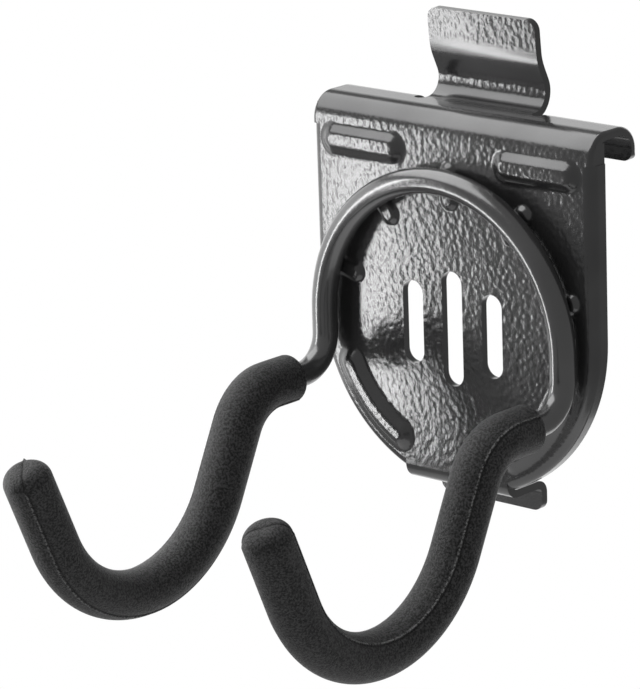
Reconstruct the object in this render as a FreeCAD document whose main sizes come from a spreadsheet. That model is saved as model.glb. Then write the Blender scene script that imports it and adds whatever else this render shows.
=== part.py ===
import FreeCAD, Part
import math
import os
import Sketcher

# Frame: X to the right, Y towards the wall, Z up, in millimetres. The origin is the middle of the underside
# of the hanging fold, where the hook sits on its rail. The plate faces -Y.
sizes = {
    # sheet metal plate with a returned rim
    "sheet": 2.0,
    "plate_half": 44.0,
    "rim_depth": 5.3,
    "rim_radius": 2.6,
    "plate_top_drop": 5.5,
    "curve_gap": 5.4,
    # hanging fold: radii are those of the outside of its bends
    "fold_front_radius": 6.5,
    "seat_flat": 5.2,
    "fold_back_radius": 6.0,
    "fold_inset": 0.2,
    "fold_edge": 1.1,
    "rim_top_gap": 0.5,
    "lip_straight": 3.2,
    "lip_corner": 2.6,
    # lock tab: radii are those of the middle of the sheet
    "tab_half": 16.8,
    "tab_relief": 1.55,
    "tab_shelf": 0.7,
    "tab_root_radius": 5.5,
    "tab_root_angle": 115.0,
    "tab_lean": 3.6,
    "tab_top_radius": 13.0,
    "tab_top_angle": 20.0,
    "tab_upright": 8.0,
    "tab_corner": 2.8,
    # locking foot: radii are those of the outside of its bends
    "foot_half": 16.2,
    "foot_rise": 0.7,
    "foot_front_radius": 4.0,
    "foot_join": 2.0,
    "foot_shelf": 8.0,
    "foot_back_radius": 3.4,
    "foot_lip": 4.7,
    "foot_corner": 2.6,
    # stiffening ribs, two straight and two curved
    "rib_edge": 3.5,
    "rib_half_length": 13.2,
    "rib_half_width": 4.0,
    "rib_drop": 8.7,
    "rib_height": 1.7,
    "rib_slope_angle": 56.0,
    "rib_round": 2.4,
    "curved_rib_edge": 3.4,
    "curved_rib_start_angle": 206.0,
    "curved_rib_end_angle": 241.0,
    # weld pads under the ring
    "pad_in": 8.0,
    "pad_out": 3.9,
    "pad_half_width": 2.7,
    "pad_slope_angle": 45.0,
    "pad_round": 1.1,
    "pad_first_angle": 18.0,
    "pad_step_angle": 36.0,
    "pad_count": 5,
    "weld_gap": 0.02,
    # pierced slots
    "slot_half_width": 3.2,
    "slot_pitch": 12.5,
    "slot_middle_half": 14.5,
    "slot_side_half": 10.5,
    # bent wire: radii are those of its middle line
    "wire_radius": 3.2,
    "ring_edge": 6.2,
    "ring_top": 13.9,
    "ring_stand": 4.4,
    "leg": 5.4,
    "root_radius": 9.0,
    "arm_run": 12.2,
    "drop_radius": 13.6,
    "drop_angle": 63.9,
    "arm_fall": 17.2,
    "cradle_radius": 31.0,
    "cradle_angle": 130.5,
    "arm_tip": 18.7,
    # moulded sleeves
    "sleeve_radius": 6.0,
    "sleeve_start": 4.7,
    "sleeve_fit": 0.05,
    "sleeve_cap": 4.8,
    "sleeve_round": 3.9,
    "sleeve_edge": 0.6,
}

# Sizes that follow from others: the plate's round end and the wire's arch keep their place under the fold
# when the plate's width changes, and the ribs, pads and foot keep theirs at its edge.
followers = {
    "curve_drop": "plate_half + curve_gap",
    "fold_half": "plate_half - fold_inset",
    "ring_radius": "plate_half - ring_edge",
    "ring_drop": "ring_radius + ring_top",
    "foot_drop": "curve_drop + plate_half - foot_rise",
    "rib_centre": "plate_half - rib_edge - rib_half_length",
    "curved_rib_outer": "plate_half - curved_rib_edge",
    "curved_rib_inner": "curved_rib_outer - 2 * rib_half_width",
    "pad_inner": "ring_radius - pad_in",
    "pad_outer": "ring_radius + pad_out",
}

# Formulas that several features share: the depth of the plate's front face in front of the origin, the depth
# of the wire's ring, the drop of the arms' straight runs, and the height of the weld pads.
face = "(dims.fold_front_radius + dims.seat_flat / 2)"
wire_depth = "(%s + dims.ring_stand)" % face
leg_drop = "(dims.ring_drop + dims.leg)"
run_drop = "(%s + dims.root_radius)" % leg_drop
pad_height = "(dims.ring_stand - dims.wire_radius - dims.weld_gap)"

doc = FreeCAD.newDocument("garage_utility_hook")
sheet = doc.addObject("Spreadsheet::Sheet", "dims")
cells = [(word, "%g" % size) for word, size in sizes.items()]
cells += [(word, "=" + formula) for word, formula in followers.items()]
for row, (word, content) in enumerate(cells, start=1):
    sheet.set("A%d" % row, word)
    sheet.set("B%d" % row, content)
    sheet.setAlias("B%d" % row, word)
doc.recompute()
readings = doc.addObject("Spreadsheet::Sheet", "readings")


# The number that a formula of the sheet's words gives.
def read(formula):
    readings.set("A1", "=" + formula)
    readings.recompute()
    result = readings.get("A1")
    return float(getattr(result, "Value", result))


def vec(x, y):
    return FreeCAD.Vector(x, y, 0)


def plane_of(body, role):
    for feature in body.Origin.OriginFeatures:
        if feature.Role == role:
            return feature


# A sketch on an origin plane of its body, moved along the plane's normal and then within the plane.
def sketch_on(body, name, role, offset="0", shift=("0", "0")):
    sketch = body.newObject("Sketcher::SketchObject", name)
    sketch.AttachmentSupport = [(plane_of(body, role), "")]
    sketch.MapMode = "FlatFace"
    sketch.setExpression("AttachmentOffset.Base.x", shift[0])
    sketch.setExpression("AttachmentOffset.Base.y", shift[1])
    sketch.setExpression("AttachmentOffset.Base.z", offset)
    return sketch


# Adds a dimension to a sketch and ties it to a formula.
def bind(sketch, constraint, formula):
    index = sketch.addConstraint(constraint)
    sketch.setExpression("Constraints[%d]" % index, formula)


# Ties a point of a sketch's geometry to two formulas.
def pin_point(sketch, edge, point, x, y):
    bind(sketch, Sketcher.Constraint("DistanceX", -1, 1, edge, point, read(x)), x)
    bind(sketch, Sketcher.Constraint("DistanceY", -1, 1, edge, point, read(y)), y)


def add_line(sketch, start, end):
    return sketch.addGeometry(Part.LineSegment(vec(*start), vec(*end)), False)


def add_arc(sketch, centre, radius, low, high):
    circle = Part.Circle(vec(*centre), FreeCAD.Vector(0, 0, 1), radius)
    return sketch.addGeometry(Part.ArcOfCircle(circle, low, high), False)


# An open path from the sketch's origin, whose straights and bends each leave the one before at a tangent.
# The heading is 0, 90, 180 or 270 degrees from the sketch's first axis. A step is ("line", length) or
# ("bend", radius, turn, side), and side is 1 to the left and -1 to the right.
def add_path(sketch, heading, steps):
    x, y = 0.0, 0.0
    angle = math.radians(heading)
    last = None
    for step in steps:
        if step[0] == "line":
            length = read(step[1])
            end = (x + length * math.cos(angle), y + length * math.sin(angle))
            edge = add_line(sketch, (x, y), end)
            first, final = 1, 2
        else:
            radius = read(step[1])
            turn = math.radians(read(step[2]))
            side = step[3]
            centre = (x - side * radius * math.sin(angle), y + side * radius * math.cos(angle))
            start = math.atan2(y - centre[1], x - centre[0])
            stop = start + side * turn
            edge = add_arc(sketch, centre, radius, min(start, stop), max(start, stop))
            end = (centre[0] + radius * math.cos(stop), centre[1] + radius * math.sin(stop))
            first, final = (1, 2) if side > 0 else (2, 1)
            angle += side * turn
        if last is None:
            sketch.addConstraint(Sketcher.Constraint("Coincident", edge, first, -1, 1))
            upright = heading % 180 != 0
            if step[0] == "line":
                sketch.addConstraint(Sketcher.Constraint("Vertical" if upright else "Horizontal", edge))
            else:
                sketch.addConstraint(Sketcher.Constraint("PointOnObject", edge, 3, -1 if upright else -2))
        else:
            sketch.addConstraint(Sketcher.Constraint("Tangent", last[0], last[1], edge, first))
        if step[0] == "line":
            bind(sketch, Sketcher.Constraint("Distance", edge, length), step[1])
        else:
            bind(sketch, Sketcher.Constraint("Radius", edge, radius), step[1])
            bind(sketch, Sketcher.Constraint("Angle", edge, turn), "(%s) * 1 deg" % step[2])
        last = (edge, final)
        x, y = end
    return sketch


# A closed rectangle between four formulas.
def add_box(sketch, left, right, low, high):
    x0, x1, y0, y1 = (read(formula) for formula in (left, right, low, high))
    corners = [(x0, y0), (x1, y0), (x1, y1), (x0, y1)]
    edges = [add_line(sketch, corners[i], corners[(i + 1) % 4]) for i in range(4)]
    for i in range(4):
        sketch.addConstraint(Sketcher.Constraint("Coincident", edges[i], 2, edges[(i + 1) % 4], 1))
    for i in (0, 2):
        sketch.addConstraint(Sketcher.Constraint("Horizontal", edges[i]))
        sketch.addConstraint(Sketcher.Constraint("Vertical", edges[i + 1]))
    pin_point(sketch, edges[0], 1, left, low)
    pin_point(sketch, edges[2], 1, right, high)
    return sketch


# The section of a strip of sheet: a rectangle some of whose corners are rounded. The corners count from the
# lower left one, anticlockwise.
def add_strip(sketch, left, right, low, high, radius, corners):
    x0, x1, y0, y1, size = (read(formula) for formula in (left, right, low, high, radius))
    trim = [size if corner in corners else 0.0 for corner in range(4)]
    edges = [add_line(sketch, (x0 + trim[0], y0), (x1 - trim[1], y0)),
             add_line(sketch, (x1, y0 + trim[1]), (x1, y1 - trim[2])),
             add_line(sketch, (x1 - trim[2], y1), (x0 + trim[3], y1)),
             add_line(sketch, (x0, y1 - trim[3]), (x0, y0 + trim[0]))]
    places = [(x0 + size, y0 + size), (x1 - size, y0 + size), (x1 - size, y1 - size), (x0 + size, y1 - size)]
    for corner in range(4):
        before, after = edges[corner - 1], edges[corner]
        if corner in corners:
            start = math.pi + corner * math.pi / 2
            arc = add_arc(sketch, places[corner], size, start, start + math.pi / 2)
            sketch.addConstraint(Sketcher.Constraint("Tangent", before, 2, arc, 1))
            sketch.addConstraint(Sketcher.Constraint("Tangent", arc, 2, after, 1))
            bind(sketch, Sketcher.Constraint("Radius", arc, size), radius)
        else:
            sketch.addConstraint(Sketcher.Constraint("Coincident", before, 2, after, 1))
    for i in (0, 2):
        sketch.addConstraint(Sketcher.Constraint("Horizontal", edges[i]))
        sketch.addConstraint(Sketcher.Constraint("Vertical", edges[i + 1]))
    bind(sketch, Sketcher.Constraint("DistanceY", -1, 1, edges[0], 1, y0), low)
    bind(sketch, Sketcher.Constraint("DistanceX", -1, 1, edges[1], 1, x1), right)
    bind(sketch, Sketcher.Constraint("DistanceY", -1, 1, edges[2], 1, y1), high)
    bind(sketch, Sketcher.Constraint("DistanceX", -1, 1, edges[3], 1, x0), left)
    return sketch


# What is cut away to round a lower right corner that lies at two formulas.
def add_corner_cut(sketch, x, y, radius):
    across, up, size = read(x), read(y), read(radius)
    arc = add_arc(sketch, (across - size, up + size), size, 1.5 * math.pi, 2 * math.pi)
    corners = [(across, up + size), (across + size, up + size), (across + size, up - size),
               (across - size, up - size), (across - size, up)]
    edges = [add_line(sketch, corners[i], corners[i + 1]) for i in range(4)]
    for one, other in ((arc, edges[0]), (edges[0], edges[1]), (edges[1], edges[2]), (edges[2], edges[3]),
                       (edges[3], arc)):
        sketch.addConstraint(Sketcher.Constraint("Coincident", one, 2, other, 1))
    for i in (0, 2):
        sketch.addConstraint(Sketcher.Constraint("Horizontal", edges[i]))
        sketch.addConstraint(Sketcher.Constraint("Vertical", edges[i + 1]))
    pin_point(sketch, arc, 1, "%s - %s" % (x, radius), y)
    pin_point(sketch, arc, 2, x, "%s + %s" % (y, radius))
    bind(sketch, Sketcher.Constraint("Radius", arc, size), radius)
    pin_point(sketch, edges[1], 2, "%s + %s" % (x, radius), "%s - %s" % (y, radius))
    return sketch


def add_circle(sketch, radius, x="0", y="0"):
    circle = Part.Circle(vec(read(x), read(y)), FreeCAD.Vector(0, 0, 1), read(radius))
    edge = sketch.addGeometry(circle, False)
    bind(sketch, Sketcher.Constraint("Radius", edge, read(radius)), radius)
    pin_point(sketch, edge, 3, x, y)
    return sketch


# A round-ended slot about a centre, turned by an angle in degrees. Its half length reaches its very end.
def add_slot(sketch, x, y, half_length, half_width, angle):
    width = read(half_width)
    turn = math.radians(angle)
    tips = []
    for sign in (1, -1):
        reach = "%d * (%s - %s)" % (sign, half_length, half_width)
        tips.append(("%s + %s * cos(%g deg)" % (x, reach, angle),
                     "%s + %s * sin(%g deg)" % (y, reach, angle)))
    ends = [(read(tip[0]), read(tip[1])) for tip in tips]
    quarter = math.pi / 2

    # The end of a tip's cap, on the left (1) or the right (-1) of the slot's direction.
    def flank(tip, sign):
        return (ends[tip][0] - sign * width * math.sin(turn), ends[tip][1] + sign * width * math.cos(turn))

    cap = add_arc(sketch, ends[0], width, turn - quarter, turn + quarter)
    top = add_line(sketch, flank(0, 1), flank(1, 1))
    tail = add_arc(sketch, ends[1], width, turn + quarter, turn + 3 * quarter)
    base = add_line(sketch, flank(1, -1), flank(0, -1))
    for one, other in ((cap, top), (top, tail), (tail, base), (base, cap)):
        sketch.addConstraint(Sketcher.Constraint("Tangent", one, 2, other, 1))
    bind(sketch, Sketcher.Constraint("Radius", cap, width), half_width)
    pin_point(sketch, cap, 3, *tips[0])
    pin_point(sketch, tail, 3, *tips[1])
    return sketch


# A curved slot between two radii about a centre on the sketch's second axis. Its end caps are centred on
# two angles in degrees.
def add_curved_slot(sketch, y, inner, outer, start, end):
    middle = "(%s + %s) / 2" % (inner, outer)
    centre = (0.0, read(y))
    low, high = math.radians(read(start)), math.radians(read(end))
    width = (read(outer) - read(inner)) / 2
    tips = [("(%s) * cos(%s * 1 deg)" % (middle, turn), "%s + (%s) * sin(%s * 1 deg)" % (y, middle, turn))
            for turn in (start, end)]
    ends = [(read(tip[0]), read(tip[1])) for tip in tips]
    far = add_arc(sketch, centre, read(outer), low, high)
    last_cap = add_arc(sketch, ends[1], width, high, high + math.pi)
    near = add_arc(sketch, centre, read(inner), low, high)
    first_cap = add_arc(sketch, ends[0], width, low - math.pi, low)
    for one, point, other, mate in ((far, 2, last_cap, 1), (last_cap, 2, near, 2),
                                    (near, 1, first_cap, 1), (first_cap, 2, far, 1)):
        sketch.addConstraint(Sketcher.Constraint("Tangent", one, point, other, mate))
    pin_point(sketch, first_cap, 3, *tips[0])
    pin_point(sketch, last_cap, 3, *tips[1])
    sketch.addConstraint(Sketcher.Constraint("PointOnObject", far, 3, -2))
    bind(sketch, Sketcher.Constraint("DistanceY", -1, 1, far, 3, centre[1]), y)
    bind(sketch, Sketcher.Constraint("Radius", far, read(outer)), outer)
    return sketch


# The plate's outline: straight sides and top over a half circle, a given distance inside the plate's edge.
def add_outline(sketch, inset, top):
    half = read("dims.plate_half - %s" % inset)
    curve = read("-dims.curve_drop")
    height = read(top)
    left = add_line(sketch, (-half, height), (-half, curve))
    round_end = add_arc(sketch, (0, curve), half, math.pi, 2 * math.pi)
    right = add_line(sketch, (half, curve), (half, height))
    lid = add_line(sketch, (half, height), (-half, height))
    sketch.addConstraint(Sketcher.Constraint("Tangent", left, 2, round_end, 1))
    sketch.addConstraint(Sketcher.Constraint("Tangent", round_end, 2, right, 1))
    sketch.addConstraint(Sketcher.Constraint("Coincident", right, 2, lid, 1))
    sketch.addConstraint(Sketcher.Constraint("Coincident", lid, 2, left, 1))
    sketch.addConstraint(Sketcher.Constraint("Vertical", left))
    sketch.addConstraint(Sketcher.Constraint("Vertical", right))
    sketch.addConstraint(Sketcher.Constraint("Horizontal", lid))
    sketch.addConstraint(Sketcher.Constraint("PointOnObject", round_end, 3, -2))
    bind(sketch, Sketcher.Constraint("DistanceY", -1, 1, round_end, 3, curve), "-dims.curve_drop")
    bind(sketch, Sketcher.Constraint("Radius", round_end, half), "dims.plate_half - %s" % inset)
    bind(sketch, Sketcher.Constraint("DistanceY", -1, 1, lid, 1, height), top)
    return sketch


def pad(body, name, profile, length, backward=False, taper="0"):
    feature = body.newObject("PartDesign::Pad", name)
    feature.Profile = profile
    feature.setExpression("Length", length)
    feature.setExpression("TaperAngle", taper)
    feature.Reversed = backward
    doc.recompute()
    return feature


def pocket(body, name, profile, length, backward=False, taper="0"):
    feature = body.newObject("PartDesign::Pocket", name)
    feature.Profile = profile
    feature.setExpression("Length", length)
    feature.setExpression("TaperAngle", taper)
    feature.Reversed = backward
    doc.recompute()
    return feature


def pipe(body, name, profile, path, cut=False):
    kind = "PartDesign::SubtractivePipe" if cut else "PartDesign::AdditivePipe"
    feature = body.newObject(kind, name)
    feature.Profile = profile
    feature.Spine = (path, ["Edge%d" % (i + 1) for i in range(path.GeometryCount)])
    doc.recompute()
    return feature


def mirrored(body, name, originals):
    feature = body.newObject("PartDesign::Mirrored", name)
    feature.Originals = originals
    feature.MirrorPlane = (plane_of(body, "YZ_Plane"), [""])
    body.Tip = feature
    doc.recompute()
    return feature


# Rounds those edges of a feature that wanted() picks by their box.
def rounded(body, name, base, radius, wanted):
    names = ["Edge%d" % (i + 1) for i, edge in enumerate(base.Shape.Edges) if wanted(edge.BoundBox)]
    feature = body.newObject("PartDesign::Fillet", name)
    feature.Base = (base, names)
    feature.setExpression("Radius", radius)
    doc.recompute()
    return feature


def near(one, other):
    return abs(one - other) < 1e-4


# Rounds the foot and the crest of what was pressed out of the sheet since an earlier shape. Both lie in
# planes across Y, at a depth and at a height from it.
def soften(body, name, before, depth, height, radius):
    def mark(box):
        return (round(box.Center.x, 2), round(box.Center.z, 2), round(box.DiagonalLength, 2))

    known = set(mark(edge.BoundBox) for edge in before.Edges)
    feature = body.Tip
    for part, level in (("foot", -read(depth)), ("crest", -read("%s + %s" % (depth, height)))):
        def wanted(box):
            return near(box.YMin, level) and near(box.YMax, level) and mark(box) not in known

        feature = rounded(body, "%s_%s" % (name, part), feature, radius, wanted)
    return feature


def make_plate():
    body = doc.addObject("PartDesign::Body", "back_plate")
    top = "-dims.plate_top_drop"
    back = "%s - dims.sheet" % face

    # The blank is drawn into a shallow pan whose rim is turned back along the sides and the round end.
    blank = add_outline(sketch_on(body, "plate_outline", "XZ_Plane", face), "0", top)
    pan = pad(body, "plate_blank", blank, "dims.rim_depth", True)
    front = -read(face)
    high = read(top)
    pan = rounded(body, "rim_bend", pan, "dims.rim_radius",
                  lambda box: near(box.YMin, front) and near(box.YMax, front) and not near(box.ZMin, high))
    hollow = sketch_on(body, "pan_outline", "XZ_Plane", "%s - dims.rim_depth" % face)
    add_outline(hollow, "dims.sheet", "%s + dims.sheet" % top)
    pocket(body, "pan_hollow", hollow, "dims.rim_depth - dims.sheet", True)

    # Hanging fold: the sheet rises from the plate and turns back over the rail, with its ends rounded along
    # their outer side as the rim is.
    path = sketch_on(body, "fold_path", "YZ_Plane", "0", ("-(%s) + dims.sheet / 2" % face, top))
    add_path(path, 90, [("line", "dims.plate_top_drop + dims.sheet - dims.fold_front_radius"),
                        ("bend", "dims.fold_front_radius - dims.sheet / 2", "90", -1),
                        ("line", "dims.seat_flat")])
    strip = sketch_on(body, "fold_strip", "XY_Plane", top)
    add_strip(strip, "-dims.fold_half", "dims.fold_half", "-(%s)" % face, "-(%s)" % back,
              "dims.fold_edge", (0, 1))
    pipe(body, "fold_front", strip, path)

    # The rim runs on up into the fold's front bend at both ends.
    ear = sketch_on(body, "rim_ear", "XZ_Plane", "%s - dims.rim_depth" % face)
    add_box(ear, "dims.fold_half - dims.sheet", "dims.fold_half",
            "%s - dims.sheet" % top, "-dims.rim_top_gap")
    ear = pad(body, "right_rim_ear", ear, "dims.rim_depth - dims.sheet")
    mirrored(body, "left_rim_ear", [ear])

    # A lip each side of the lock tab turns down behind the rail. Its outer lower corner is rounded.
    seat_end = ("dims.seat_flat / 2", "dims.sheet / 2")
    path = add_path(sketch_on(body, "lip_path", "YZ_Plane", "0", seat_end), 0,
                    [("bend", "dims.fold_back_radius - dims.sheet / 2", "90", -1),
                     ("line", "dims.lip_straight")])
    strip = sketch_on(body, "lip_strip", "XZ_Plane", "-dims.seat_flat / 2")
    add_strip(strip, "dims.tab_half + 2 * dims.tab_relief", "dims.fold_half", "0", "dims.sheet",
              "dims.fold_edge", (2,))
    lip = pipe(body, "right_lip", strip, path)
    corner = sketch_on(body, "lip_corner_cut", "XZ_Plane", "-(dims.seat_flat / 2 + dims.fold_back_radius)")
    add_corner_cut(corner, "dims.fold_half", "dims.sheet - dims.fold_back_radius - dims.lip_straight",
                   "dims.lip_corner")
    cut = pocket(body, "right_lip_corner", corner, "dims.sheet", True)
    mirrored(body, "left_lip", [lip, cut])

    # The lock tab stands up between the lips: it swings back, leans forward and ends upright.
    path = add_path(sketch_on(body, "tab_path", "YZ_Plane", "0", seat_end), 0,
                    [("line", "dims.tab_shelf"),
                     ("bend", "dims.tab_root_radius", "dims.tab_root_angle", 1),
                     ("line", "dims.tab_lean"),
                     ("bend", "dims.tab_top_radius", "dims.tab_top_angle", -1),
                     ("line", "dims.tab_upright")])
    strip = sketch_on(body, "tab_strip", "XZ_Plane", "-dims.seat_flat / 2")
    add_box(strip, "-dims.tab_half", "dims.tab_half", "0", "dims.sheet")
    tab = pipe(body, "lock_tab", strip, path)
    half = read("dims.tab_half")
    peak = tab.Shape.BoundBox.ZMax
    rounded(body, "tab_corners", tab, "dims.tab_corner",
            lambda box: near(abs(box.Center.x), half) and box.XLength < 1e-4 and box.ZMin > peak - 1)
    relief = sketch_on(body, "relief_circles", "XY_Plane", "dims.sheet")
    for sign in ("", "-"):
        add_circle(relief, "dims.tab_relief",
                   "%s(dims.tab_half + dims.tab_relief)" % sign, "dims.seat_flat / 2")
    pocket(body, "tab_reliefs", relief, "dims.sheet")

    # Locking foot: the rim is cut away at the bottom, and a tongue turns back under the plate and then down.
    heel = "-(dims.foot_drop - dims.foot_front_radius)"
    below = "-(dims.curve_drop + dims.plate_half + dims.sheet)"
    gap = sketch_on(body, "foot_gap", "XZ_Plane", "%s - dims.rim_depth" % face)
    add_box(gap, "-dims.foot_half", "dims.foot_half", below, "%s + 1.5 * dims.foot_join" % heel)
    pocket(body, "rim_gap", gap, "dims.rim_depth - dims.sheet", True)
    gap = sketch_on(body, "tongue_gap", "XZ_Plane", "%s - dims.rim_depth" % face)
    add_box(gap, "-dims.foot_half", "dims.foot_half", below, "%s + dims.foot_join / 2" % heel)
    pocket(body, "plate_gap", gap, "dims.rim_depth", True)
    start = "%s + dims.foot_join" % heel
    path = sketch_on(body, "foot_path", "YZ_Plane", "0", ("-(%s) + dims.sheet / 2" % face, start))
    add_path(path, 270, [("line", "dims.foot_join"),
                         ("bend", "dims.foot_front_radius - dims.sheet / 2", "90", 1),
                         ("line", "dims.foot_shelf"),
                         ("bend", "dims.foot_back_radius - dims.sheet / 2", "90", -1),
                         ("line", "dims.foot_lip")])
    strip = sketch_on(body, "foot_strip", "XY_Plane", start)
    add_box(strip, "-dims.foot_half", "dims.foot_half", "-(%s)" % face, "-(%s)" % back)
    foot = pipe(body, "locking_foot", strip, path)
    half_foot = read("dims.foot_half")
    bottom = foot.Shape.BoundBox.ZMin
    rounded(body, "foot_corners", foot, "dims.foot_corner",
            lambda box: near(abs(box.Center.x), half_foot) and box.XLength < 1e-4
            and box.ZMax < bottom + 1e-4)

    # Ribs and weld pads are pressed forward, so each is a raised shape in front and a hollow behind, rounded
    # at its foot and crest.
    for side, depth in (("front", face), ("back", back)):
        shape = pad if side == "front" else pocket
        backward = side == "back"
        before = body.Tip.Shape.copy()
        ribs = sketch_on(body, "rib_%s" % side, "XZ_Plane", depth)
        for sign in ("", "-"):
            add_slot(ribs, "%sdims.rib_centre" % sign, "-dims.rib_drop",
                     "dims.rib_half_length", "dims.rib_half_width", 0)
        shape(body, "ribs_%s" % side, ribs, "dims.rib_height", backward, "-dims.rib_slope_angle")
        curve = sketch_on(body, "curved_rib_%s" % side, "XZ_Plane", depth)
        add_curved_slot(curve, "-dims.curve_drop", "dims.curved_rib_inner", "dims.curved_rib_outer",
                        "dims.curved_rib_start_angle", "dims.curved_rib_end_angle")
        left = shape(body, "left_curved_rib_%s" % side, curve, "dims.rib_height", backward,
                     "-dims.rib_slope_angle")
        mirrored(body, "right_curved_rib_%s" % side, [left])
        soften(body, "ribs_%s" % side, before, depth, "dims.rib_height", "dims.rib_round")
        before = body.Tip.Shape.copy()
        pads = sketch_on(body, "pad_%s" % side, "XZ_Plane", depth)
        for index in range(int(read("dims.pad_count"))):
            turn = read("dims.pad_first_angle + %d * dims.pad_step_angle" % index)
            middle = "(dims.pad_inner + dims.pad_outer) / 2"
            across = "%s * cos(%g deg)" % (middle, turn)
            up = "-dims.ring_drop + %s * sin(%g deg)" % (middle, turn)
            add_slot(pads, across, up, "(dims.pad_outer - dims.pad_inner) / 2", "dims.pad_half_width", turn)
        shape(body, "weld_pads_%s" % side, pads, pad_height, backward, "-dims.pad_slope_angle")
        soften(body, "pads_%s" % side, before, depth, pad_height, "dims.pad_round")

    # Three upright slots are pierced through the middle of the plate.
    slots = sketch_on(body, "slot_outlines", "XZ_Plane", face)
    for place, half_length in (("0", "dims.slot_middle_half"),
                               ("dims.slot_pitch", "dims.slot_side_half"),
                               ("-dims.slot_pitch", "dims.slot_side_half")):
        add_slot(slots, place, "-dims.ring_drop", half_length, "dims.slot_half_width", 90)
    pocket(body, "pierced_slots", slots, "dims.sheet")
    return body


# The steps of an arm's middle line after its straight run.
def arm_steps(run, tip):
    return [("line", run),
            ("bend", "dims.drop_radius", "dims.drop_angle", 1),
            ("line", "dims.arm_fall"),
            ("bend", "dims.cradle_radius", "dims.cradle_angle", -1),
            ("line", tip)]


def make_wire():
    body = doc.addObject("PartDesign::Body", "hook_wire")
    corner = ("-dims.ring_radius", "-%s" % wire_depth)
    leg_foot = "-%s" % leg_drop

    # The middle of the bar is bent to an arch that lies on the weld pads.
    path = sketch_on(body, "ring_path", "XZ_Plane", wire_depth, ("-dims.ring_radius", leg_foot))
    add_path(path, 90, [("line", "dims.leg"), ("bend", "dims.ring_radius", "180", -1), ("line", "dims.leg")])
    section = sketch_on(body, "ring_section", "XY_Plane", leg_foot)
    add_circle(section, "dims.wire_radius", *corner)
    pipe(body, "ring", section, path)

    # Each end of the bar is bent forward, dropped and turned up into a cradle.
    path = sketch_on(body, "arm_path", "YZ_Plane", "-dims.ring_radius", ("-%s" % wire_depth, leg_foot))
    root = [("bend", "dims.root_radius", "90", -1)]
    add_path(path, 270, root + arm_steps("dims.arm_run", "dims.arm_tip"))
    section = sketch_on(body, "arm_section", "XY_Plane", leg_foot)
    add_circle(section, "dims.wire_radius", *corner)
    arm = pipe(body, "left_arm", section, path)
    mirrored(body, "right_arm", [arm])
    return body


# A closed-ended moulded sleeve on one arm: it starts on the arm's straight run and ends past the bar's end.
def make_sleeve(name, across):
    body = doc.addObject("PartDesign::Body", name)
    depth = "(%s + dims.root_radius + dims.sleeve_start)" % wire_depth
    run = "dims.arm_run - dims.sleeve_start"
    start = ("-%s" % depth, "-%s" % run_drop)
    path = sketch_on(body, name + "_path", "YZ_Plane", across, start)
    add_path(path, 180, arm_steps(run, "dims.arm_tip + dims.sleeve_cap"))
    section = sketch_on(body, name + "_section", "XZ_Plane", depth)
    add_circle(section, "dims.sleeve_radius", across, "-%s" % run_drop)
    tube = pipe(body, name + "_outside", section, path)
    mouth = path.Placement.multVec(path.getPoint(0, 1))
    tip = path.Placement.multVec(path.getPoint(path.GeometryCount - 1, 2))
    tube = rounded(body, name + "_tip", tube, "dims.sleeve_round",
                   lambda box: (box.Center - tip).Length < 1e-3)
    rounded(body, name + "_mouth", tube, "dims.sleeve_edge", lambda box: (box.Center - mouth).Length < 1e-3)
    path = sketch_on(body, name + "_bore_path", "YZ_Plane", across, start)
    add_path(path, 180, arm_steps(run, "dims.arm_tip + dims.sleeve_fit"))
    section = sketch_on(body, name + "_bore_section", "XZ_Plane", depth)
    add_circle(section, "dims.wire_radius + dims.sleeve_fit", across, "-%s" % run_drop)
    pipe(body, name + "_bore", section, path, True)
    return body


bodies = [make_plate(), make_wire()]
bodies.append(make_sleeve("left_grip_sleeve", "-dims.ring_radius"))
bodies.append(make_sleeve("right_grip_sleeve", "dims.ring_radius"))
doc.removeObject(readings.Name)
doc.recompute()
for item in doc.Objects:
    if "Invalid" in item.State or "Error" in item.State:
        raise RuntimeError("%s could not be made" % item.Name)
os.makedirs("parts", exist_ok=True)
for body in bodies:
    shape = body.Shape
    if shape.isNull() or not shape.isValid() or len(shape.Solids) != 1:
        raise RuntimeError("%s is not one sound solid" % body.Label)
    shape.exportStep("parts/%s.step" % body.Label)
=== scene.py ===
import math

import bpy
import numpy as np
from mathutils import Matrix, Vector


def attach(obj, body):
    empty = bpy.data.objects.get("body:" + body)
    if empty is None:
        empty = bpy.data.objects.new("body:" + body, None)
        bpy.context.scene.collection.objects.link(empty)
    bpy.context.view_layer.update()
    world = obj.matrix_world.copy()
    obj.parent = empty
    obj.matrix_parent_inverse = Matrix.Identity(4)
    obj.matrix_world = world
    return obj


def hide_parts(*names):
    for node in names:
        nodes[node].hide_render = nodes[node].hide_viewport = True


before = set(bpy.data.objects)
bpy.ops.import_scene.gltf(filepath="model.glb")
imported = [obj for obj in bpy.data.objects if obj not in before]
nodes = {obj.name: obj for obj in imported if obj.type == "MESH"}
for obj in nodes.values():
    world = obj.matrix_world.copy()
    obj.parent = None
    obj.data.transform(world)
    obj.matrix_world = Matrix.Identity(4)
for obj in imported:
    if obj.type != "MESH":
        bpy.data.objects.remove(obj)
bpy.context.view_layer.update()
scene = bpy.context.scene
print("frame:", ", ".join(sorted(nodes)))

mm = 0.001


# small helpers for shader nodes: a value is either a number or another node's output

def feed(tree, value, socket):
    if isinstance(value, (int, float)):
        socket.default_value = value
    else:
        tree.links.new(value, socket)


def setSockets(node, values):
    for label, value in values.items():
        node.inputs[label].default_value = value


def mathNode(tree, operation, first, second=0.0):
    node = tree.nodes.new("ShaderNodeMath")
    node.operation = operation
    feed(tree, first, node.inputs[0])
    feed(tree, second, node.inputs[1])
    return node.outputs[0]


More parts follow.
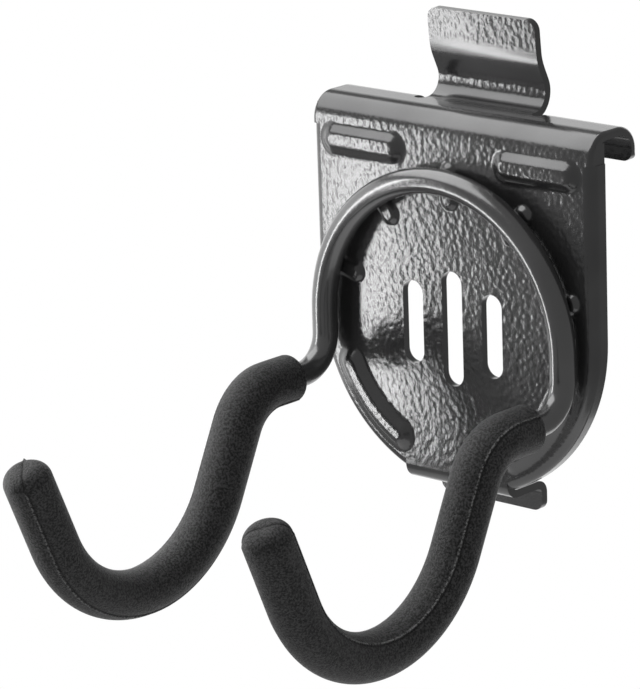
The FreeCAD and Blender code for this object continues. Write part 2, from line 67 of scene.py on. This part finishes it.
def noise(tree, where, scale, detail=2.0, roughness=0.5):
    node = tree.nodes.new("ShaderNodeTexNoise")
    setSockets(node, {"Detail": detail, "Roughness": roughness})
    tree.links.new(where, node.inputs["Vector"])
    feed(tree, scale, node.inputs["Scale"])
    return node.outputs["Fac"]


# value 0 to 1 spread over low to high
def spread(tree, value, low, high):
    node = tree.nodes.new("ShaderNodeMapRange")
    setSockets(node, {"To Min": low, "To Max": high})
    tree.links.new(value, node.inputs["Value"])
    return node.outputs[0]


# 0 below low, 1 above high, and a smooth step between them
def softStep(tree, value, low, high):
    node = tree.nodes.new("ShaderNodeMapRange")
    node.interpolation_type = "SMOOTHSTEP"
    setSockets(node, {"From Min": low, "From Max": high})
    tree.links.new(value, node.inputs["Value"])
    return node.outputs[0]


def ramp(tree, value, low, high, lowColor, highColor):
    node = tree.nodes.new("ShaderNodeValToRGB")
    for element, position, color in zip(node.color_ramp.elements, (low, high), (lowColor, highColor)):
        element.position = position
        element.color = (*color, 1)
    tree.links.new(value, node.inputs[0])
    return node.outputs[0]


def blend(tree, share, color, tone):
    node = tree.nodes.new("ShaderNodeMix")
    node.data_type = "RGBA"
    tree.links.new(share, node.inputs["Factor"])
    tree.links.new(color, node.inputs["A"])
    node.inputs["B"].default_value = (*tone, 1)
    return node.outputs["Result"]


def bump(tree, shader, height, depth):
    node = tree.nodes.new("ShaderNodeBump")
    setSockets(node, {"Strength": 1.0, "Distance": depth})
    tree.links.new(height, node.inputs["Height"])
    tree.links.new(node.outputs[0], shader.inputs["Normal"])


# shared surface effects, each a group that takes a place and the scales of its noises

def newGroup(name, scales, outputs):
    group = bpy.data.node_groups.new(name, "ShaderNodeTree")
    group.interface.new_socket(name="Vector", in_out="INPUT", socket_type="NodeSocketVector")
    for label in scales:
        group.interface.new_socket(name=label, in_out="INPUT", socket_type="NodeSocketFloat")
    for label in outputs:
        group.interface.new_socket(name=label, in_out="OUTPUT", socket_type="NodeSocketFloat")
    return group, group.nodes.new("NodeGroupInput"), group.nodes.new("NodeGroupOutput")


def placeGroup(tree, group, where, scales):
    node = tree.nodes.new("ShaderNodeGroup")
    node.node_tree = group
    tree.links.new(where, node.inputs["Vector"])
    setSockets(node, scales)
    return node.outputs


# hammered enamel: dimples a little taller than wide, broken up by a finer noise, and wide patches of tone
enamelGrain = {"squeeze": (1.0, 1.0, 0.95), "dimpleDetail": 0.5, "breakDetail": 1.0, "roughness": 0.4,
               "breakShare": 0.12, "patchScale": 45.0}


def hammeredGroup(v):
    group, inside, outside = newGroup("hammeredEnamel", ("Dimple", "Break"), ("Height", "Patch"))
    squeeze = group.nodes.new("ShaderNodeMapping")
    squeeze.inputs["Scale"].default_value = v["squeeze"]
    group.links.new(inside.outputs["Vector"], squeeze.inputs["Vector"])
    where = squeeze.outputs["Vector"]
    dimple = noise(group, where, inside.outputs["Dimple"], v["dimpleDetail"], v["roughness"])
    broken = noise(group, where, inside.outputs["Break"], v["breakDetail"], v["roughness"])
    height = mathNode(group, "ADD", dimple, mathNode(group, "MULTIPLY", broken, v["breakShare"]))
    group.links.new(height, outside.inputs["Height"])
    group.links.new(noise(group, inside.outputs["Vector"], v["patchScale"]), outside.inputs["Patch"])
    return group


# moulded grain: two noises a few tenths of a millimetre wide, the coarse one also as specks of tone
mouldGrain = {"fineShare": 0.6}


def grainGroup(v):
    group, inside, outside = newGroup("fineGrain", ("Coarse", "Fine"), ("Height", "Speck"))
    coarse = noise(group, inside.outputs["Vector"], inside.outputs["Coarse"])
    fine = noise(group, inside.outputs["Vector"], inside.outputs["Fine"])
    height = mathNode(group, "ADD", coarse, mathNode(group, "MULTIPLY", fine, v["fineShare"]))
    group.links.new(height, outside.inputs["Height"])
    group.links.new(coarse, outside.inputs["Speck"])
    return group


hammeredEnamel = hammeredGroup(enamelGrain)
fineGrain = grainGroup(mouldGrain)
print("shader groups ready")


def newMaterial(name):
    material = bpy.data.materials.new(name)
    material.use_nodes = True
    tree = material.node_tree
    tree.nodes.clear()
    output = tree.nodes.new("ShaderNodeOutputMaterial")
    shader = tree.nodes.new("ShaderNodeBsdfPrincipled")
    tree.links.new(shader.outputs[0], output.inputs[0])
    coords = tree.nodes.new("ShaderNodeTexCoord")
    return material, tree, shader, coords.outputs["Object"]


# what plate and wire share: patchy colour and gloss under a clear coat, and the height of the dimples
def enamelMaterial(name, v):
    material, tree, shader, where = newMaterial(name)
    grain = placeGroup(tree, hammeredEnamel, where, v["grain"])
    color = ramp(tree, grain["Patch"], *v["patch"], v["dark"], v["light"])
    tree.links.new(color, shader.inputs["Base Color"])
    tree.links.new(spread(tree, grain["Patch"], *v["gloss"]), shader.inputs["Roughness"])
    setSockets(shader, v["shader"])
    return material, tree, shader, where, grain["Height"]


# plate: grey hammered enamel, dimpled on the flats and flowed smooth over the bends; flat is a range of the
# normal's share along Y, and tabRun and footRun are ranges of height in metres
plateFinish = {"dark": (0.125, 0.125, 0.126), "light": (0.160, 0.160, 0.161), "patch": (0.35, 0.65),
               "gloss": (0.18, 0.25), "grain": {"Dimple": 820.0, "Break": 2000.0}, "depth": 0.00012,
               "flat": (0.86, 0.97), "tabRun": ((0.0085, 0.0105), (0.0158, 0.0178)),
               "footRun": (-0.0895, -0.0855),
               "shader": {"Metallic": 0.8, "Coat Weight": 0.35, "Coat Roughness": 0.08}}


# how flat a surface lies to the plate's face: 0 on the bends, 1 where it faces straight forward or back
def flatness(tree, low, high):
    geometry = tree.nodes.new("ShaderNodeNewGeometry")
    parts = tree.nodes.new("ShaderNodeSeparateXYZ")
    tree.links.new(geometry.outputs["Normal"], parts.inputs[0])
    return softStep(tree, mathNode(tree, "ABSOLUTE", parts.outputs["Y"]), low, high)


# the enamel runs smooth at two heights: 0 between the tab's two bends and below the plate's foot, 1 elsewhere
def clearOfBends(tree, where, lower, upper, foot):
    parts = tree.nodes.new("ShaderNodeSeparateXYZ")
    tree.links.new(where, parts.inputs[0])
    z = parts.outputs["Z"]
    aboveFoot, aboveLower, aboveUpper = (softStep(tree, z, *run) for run in (foot, lower, upper))
    return mathNode(tree, "ADD", mathNode(tree, "SUBTRACT", aboveFoot, aboveLower), aboveUpper)


def plateMaterial(v):
    material, tree, shader, where, height = enamelMaterial("plateEnamel", v)
    clear = clearOfBends(tree, where, *v["tabRun"], v["footRun"])
    dimpled = mathNode(tree, "MULTIPLY", flatness(tree, *v["flat"]), clear)
    bump(tree, shader, mathNode(tree, "MULTIPLY", height, dimpled), v["depth"])
    return material


# wire: the same enamel, flowed almost smooth on the round bar, its colour set lighter than the plate's as
# painted light for the brighter light on the ring
wireFinishPaintedLight = {"dark": (0.195, 0.195, 0.196), "light": (0.230, 0.230, 0.231), "patch": (0.35, 0.65),
              "gloss": (0.20, 0.27), "grain": {"Dimple": 650.0, "Break": 1500.0}, "depth": 0.00003,
              "shader": {"Metallic": 0.8, "Coat Weight": 0.4, "Coat Roughness": 0.09}}


def wireMaterial(v):
    material, tree, shader, _, height = enamelMaterial("wireEnamel", v)
    bump(tree, shader, height, v["depth"])
    return material


# sleeves: matt black moulding with a fine grain, and a painted highlight and painted shade along the mould
# line
sleeveFinish = {"dark": (0.001, 0.001, 0.001), "light": (0.085, 0.085, 0.086), "speck": (0.40, 0.62),
                "rough": (0.42, 0.72), "grain": {"Coarse": 2000.0, "Fine": 4000.0}, "depth": 0.00025,
                "seamPaintedHighlight": (0.30, 0.30, 0.30), "seamPaintedShade": (0.001, 0.001, 0.001),
                "shader": {"Sheen Weight": 0.1, "Sheen Roughness": 0.5}}


def sleeveMaterial(v):
    material, tree, shader, where = newMaterial("sleeveRubber")
    grain = placeGroup(tree, fineGrain, where, v["grain"])
    # the mould line's crest gets a painted highlight in dots, where the grain stands high, and its trough and
    # grooves get a painted shade
    seam = tree.nodes.new("ShaderNodeAttribute")
    seam.attribute_name = "seam"
    raised = mathNode(tree, "MAXIMUM", seam.outputs["Fac"], 0.0)
    paintedHighlight = mathNode(tree, "MULTIPLY", raised, softStep(tree, grain["Speck"], *v["speck"]))
    paintedShade = mathNode(tree, "MAXIMUM", mathNode(tree, "MULTIPLY", seam.outputs["Fac"], -1.0), 0.0)
    color = ramp(tree, grain["Speck"], *v["speck"], v["dark"], v["light"])
    color = blend(tree, paintedHighlight, color, v["seamPaintedHighlight"])
    color = blend(tree, paintedShade, color, v["seamPaintedShade"])
    tree.links.new(color, shader.inputs["Base Color"])
    tree.links.new(spread(tree, grain["Speck"], *v["rough"]), shader.inputs["Roughness"])
    bump(tree, shader, grain["Height"], v["depth"])
    setSockets(shader, v["shader"])
    return material


plateEnamel = plateMaterial(plateFinish)
wireEnamel = wireMaterial(wireFinishPaintedLight)
sleeveRubber = sleeveMaterial(sleeveFinish)
for nodeName, finish in (("back_plate", plateEnamel), ("hook_wire", wireEnamel)):
    nodes[nodeName].data.materials.clear()
    nodes[nodeName].data.materials.append(finish)
print("materials ready")


# sleeve sizes in millimetres; a bend is a radius, an angle in degrees and the side it turns to, cap is the
# solid length past the bore's end, and tipRings are the radii of the last rings on the flat of the tip
sleeveShape = {"startY": -27.2, "startZ": -66.1,
               "steps": [("line", 7.5), ("bend", 13.6, 63.9, 1), ("line", 17.2),
                         ("bend", 31.0, 130.5, -1), ("line", 23.5)],
               "spacing": 0.8, "rowGap": 0.3, "around": 36,
               "radius": 6.0, "bore": 3.25, "boreEdge": 0.15, "cap": 4.75,
               "mouthRound": 0.6, "mouthRows": 5, "tipRound": 3.9, "tipRows": 20, "tipRings": (1.1, 0.5)}

# mould line in millimetres: a ridge with a trough beside it, which turns into a groove over the tip, within
# the tilt turnOver; tilts are in radians, and beside and clear place the mesh's columns, in degrees
mouldLine = {"high": 0.2, "wide": 0.22, "dent": 0.16, "dentOff": 0.45,
             "groove": 0.2, "grooveWide": 0.3, "turnOver": 0.5, "nibTilt": 1.0, "nibWide": 0.14,
             "beside": (0.6, 1.2, 2.0, 3.0, 4.5, 7.0), "clear": 11.0}

# seam is the angle of the mould line in degrees, from +X towards the inside of the drop bend, dentSide is the
# side of the trough, and nib is the height of the moulding flash over the groove on the tip
sleeveSides = {"left": {"x": -37.8, "seam": 51.0, "nib": 0.7, "dentSide": -1, "node": "left_grip_sleeve"},
               "right": {"x": 37.8, "seam": 317.0, "nib": 0.0, "dentSide": 1, "node": "right_grip_sleeve"}}


# an arm's middle line, which sets off forwards: straights and circular arcs joined at tangents, as rows of
# distance, Y, Z and heading
def middleLine(v):
    rows = []
    y, z, heading, gone = v["startY"], v["startZ"], math.pi, 0.0
    for kind, size, *bend in v["steps"]:
        if kind == "line":
            length = size
            t = np.linspace(0, length, max(3, int(length / v["spacing"])))
            turned = heading + 0 * t
            lineY = y + t * math.cos(heading)
            lineZ = z + t * math.sin(heading)
        else:
            turn, side = math.radians(bend[0]), bend[1]
            length = size * turn
            t = np.linspace(0, length, max(3, int(length / v["spacing"])))
            turned = heading + side * t / size
            lineY = y + side * size * (np.sin(turned) - math.sin(heading))
            lineZ = z - side * size * (np.cos(turned) - math.cos(heading))
        rows.append(np.stack([gone + t, lineY, lineZ, turned], 1))
        y, z, heading, gone = lineY[-1], lineZ[-1], turned[-1], gone + length
    line = np.concatenate(rows)
    return line[np.concatenate([[True], np.diff(line[:, 0]) > 1e-6])]


# the four values side by side, one row for each ring of the sleeve; a single number is repeated
def profileRows(distance, radius, tilt, height):
    return np.stack(np.broadcast_arrays(distance, radius, tilt, height), -1)


# the sleeve's outline, out along the bore, round the mouth's lip, along the outside and round the tip, as
# rows of distance, radius, the surface's tilt towards the tip and the height of the mould line
def sleeveProfile(distances, v, m):
    total, gap = distances[-1], v["rowGap"]
    depth = total - v["cap"]
    inside = distances[(distances > gap) & (distances < depth - gap)][::-1]
    outside = distances[(distances > v["mouthRound"] + gap) & (distances < total - v["tipRound"] - gap)]
    lip = np.linspace(math.pi / 2, 0, v["mouthRows"])
    quarter = np.linspace(0, math.pi / 2, v["tipRows"])
    sinking = m["high"] - (m["high"] + m["groove"]) * np.minimum(1, quarter / m["turnOver"])
    mouthRadius = v["radius"] - v["mouthRound"] * (1 - np.cos(lip))
    tipRadius = v["radius"] - v["tipRound"] * (1 - np.cos(quarter))
    return np.concatenate([
        profileRows(np.concatenate([[depth], inside, [v["boreEdge"]]]), v["bore"], 0.0, 0.0),
        profileRows(np.zeros(1), v["bore"] + v["boreEdge"], 0.0, 0.0),
        profileRows(v["mouthRound"] * (1 - np.sin(lip)), mouthRadius, 0.0, 0.0),
        profileRows(outside, v["radius"], 0.0, m["high"]),
        profileRows(total - v["tipRound"] * (1 - np.sin(quarter)), tipRadius, quarter, sinking),
        profileRows(total, np.array(v["tipRings"]), math.pi / 2, -m["groove"])])


# angles round the sleeve, which crowd at the two mould lines so that the ridge is real geometry
def columnAngles(v, m):
    beside = np.array(m["beside"])
    plain = np.linspace(m["clear"], 180 - m["clear"], v["around"])
    half = np.radians(np.concatenate([-beside[::-1], [0.0], beside, plain]))
    return np.concatenate([half, half + math.pi])


# how far the mould line stands out: a bell across the line on two opposite sides, less a second bell for the
# trough beside it, and on one side a nib of flash, which is a bell along the tip too
def mouldLift(turned, radius, tilt, height, m, s):
    wide = m["wide"] + (m["grooveWide"] - m["wide"]) * np.minimum(1, tilt / m["turnOver"])
    across = np.angle(np.exp(2j * turned)) / 2 * radius
    ridge = np.exp(-(across / wide) ** 2)
    trough = np.exp(-((across - s["dentSide"] * m["dentOff"]) / wide) ** 2)
    flash = s["nib"] * np.exp(-((tilt - m["nibTilt"]) / m["nibWide"]) ** 2) * (np.cos(turned) < 0)
    return (height + flash) * ridge - m["dent"] * (height > 0) * trough


# outward quads of a grid that closes on itself along its columns, and one flat face over either end
def tubeFaces(rows, columns):
    i, j = np.meshgrid(np.arange(rows - 1), np.arange(columns), indexing="ij")
    k = (j + 1) % columns
    quads = np.stack([i * columns + j, (i + 1) * columns + j, (i + 1) * columns + k, i * columns + k], -1)
    firstEnd = np.arange(columns)
    lastEnd = firstEnd[::-1] + (rows - 1) * columns
    return quads.reshape(-1, 4).tolist() + [lastEnd.tolist(), firstEnd.tolist()]


def meshPiece(name, points, faces, material):
    mesh = bpy.data.meshes.new(name)
    mesh.from_pydata(points.tolist(), [], faces)
    mesh.polygons.foreach_set("use_smooth", np.ones(len(mesh.polygons), bool))
    mesh.materials.append(material)
    mesh.update()
    piece = bpy.data.objects.new(name, mesh)
    scene.collection.objects.link(piece)
    return piece


# a circle of changing radius carried along the middle line, pushed out by the mould line's lift: sideways on
# the sleeve's side, and ahead on its tip
def makeSleeve(side, v, m, s):
    line = middleLine(v)
    along, radius, tilt, height = sleeveProfile(line[:, 0], v, m).T[:, :, None]
    centreY, centreZ, heading = (np.interp(along, line[:, 0], column) for column in line.T[1:])
    turned = columnAngles(v, m)
    lift = mouldLift(turned, radius, tilt, height, m, s)
    angle = turned + math.radians(s["seam"])
    ring = radius + lift * np.cos(tilt)
    ahead = lift * np.sin(tilt)
    x = s["x"] + ring * np.cos(angle)
    y = centreY - ring * np.sin(angle) * np.sin(heading) + ahead * np.cos(heading)
    z = centreZ + ring * np.sin(angle) * np.cos(heading) + ahead * np.sin(heading)
    points = np.stack([x, y, z], -1).reshape(-1, 3) * mm
    piece = meshPiece(side + "Sleeve", points, tubeFaces(*ring.shape), sleeveRubber)
    # the seam attribute: positive on ridge and nib for the painted highlight, negative in trough and grooves
    # for the painted shade
    crest = np.clip(lift / m["high"], -1, 1)
    piece.data.attributes.new("seam", "FLOAT", "POINT").data.foreach_set("value", crest.ravel())
    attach(piece, "root")
    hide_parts(s["node"])
    return piece


for sideName, sideValues in sleeveSides.items():
    made = makeSleeve(sideName, sleeveShape, mouldLine, sideValues)
    print("sleeve:", made.name, len(made.data.polygons), "faces")


# stage: plain white floor, soft panels at the left, above and behind, a narrow strip at the left panel's edge
# that draws the thin highlights, and a weak glow from below for the light that a white table throws back
stageLook = {"floor": -0.16, "half": 6.0, "white": (1.0, 1.0, 1.0, 1.0), "sky": 0.22}
studioMiddle = Vector((0.0, -0.055, -0.045))
studioLights = [
    {"name": "leftPanel", "azimuth": -85.0, "elevation": -1.0, "away": 0.24,
     "wide": 0.34, "high": 0.25, "watts": 0.24},
    {"name": "edgeStrip", "azimuth": -59.0, "elevation": -5.0, "away": 0.176,
     "wide": 0.02, "high": 0.18, "watts": 0.09},
    {"name": "floorBounce", "azimuth": 0.0, "elevation": -88.0, "away": 0.3,
     "wide": 0.5, "high": 0.5, "watts": 0.3},
    {"name": "topPanel", "azimuth": -75.0, "elevation": 56.0, "away": 0.9,
     "wide": 1.2, "high": 0.8, "watts": 5.5},
    {"name": "backPanel", "azimuth": -152.0, "elevation": -12.0, "away": 1.1,
     "wide": 1.6, "high": 1.7, "watts": 6.5},
]


# the floor only shows itself to the camera: it throws no light, reflection or shadow on the hook
def makeFloor(v):
    h, z = v["half"], v["floor"]
    mesh = bpy.data.meshes.new("floor")
    mesh.from_pydata([(-h, -h, z), (h, -h, z), (h, h, z), (-h, h, z)], [], [(0, 1, 2, 3)])
    floor = bpy.data.objects.new("floor", mesh)
    scene.collection.objects.link(floor)
    material = bpy.data.materials.new("paleFloor")
    material.use_nodes = True
    tree = material.node_tree
    tree.nodes.clear()
    output = tree.nodes.new("ShaderNodeOutputMaterial")
    glow = tree.nodes.new("ShaderNodeEmission")
    glow.inputs["Color"].default_value = v["white"]
    tree.links.new(glow.outputs[0], output.inputs[0])
    mesh.materials.append(material)
    floor.visible_diffuse = False
    floor.visible_glossy = False
    floor.visible_shadow = False


def makeLight(v):
    a, e = math.radians(v["azimuth"]), math.radians(v["elevation"])
    out = Vector((math.sin(a) * math.cos(e), -math.cos(a) * math.cos(e), math.sin(e)))
    light = bpy.data.lights.new(v["name"], "AREA")
    light.shape = "RECTANGLE"
    light.size, light.size_y = v["wide"], v["high"]
    light.energy = v["watts"]
    lamp = bpy.data.objects.new(v["name"], light)
    lamp.location = studioMiddle + out * v["away"]
    lamp.rotation_mode = "QUATERNION"
    lamp.rotation_quaternion = (-out).to_track_quat("-Z", "Y")
    lamp.visible_camera = False
    scene.collection.objects.link(lamp)


def makeWorld(v):
    world = bpy.data.worlds.new("studio")
    world.use_nodes = True
    setSockets(world.node_tree.nodes["Background"], {"Color": v["white"], "Strength": v["sky"]})
    scene.world = world


makeFloor(stageLook)
for lightValues in studioLights:
    makeLight(lightValues)
makeWorld(stageLook)
scene.view_settings.view_transform = "Standard"
print("stage ready")


# camera fitted to the photograph: 36 mm on the frame's long side
view = {"right": (0.74693, 0.66413, -0.03189), "up": (-0.15456, 0.22008, 0.96315),
        "back": (0.64668, -0.71449, 0.26703), "target": (-0.04372, -0.0091, -0.0626),
        "distance": 1.1304, "lens": 235.5, "sensor": 36.0, "clip": (0.05, 50.0)}


def makeCamera(v):
    data = bpy.data.cameras.new("camera")
    data.sensor_width = v["sensor"]
    data.lens = v["lens"]
    data.clip_start, data.clip_end = v["clip"]
    camera = bpy.data.objects.new("camera", data)
    turn = Matrix((v["right"], v["up"], v["back"])).transposed().to_4x4()
    place = Vector(v["target"]) + Vector(v["back"]) * v["distance"]
    camera.matrix_world = Matrix.Translation(place) @ turn
    scene.collection.objects.link(camera)
    scene.camera = camera


makeCamera(view)
print("camera ready")
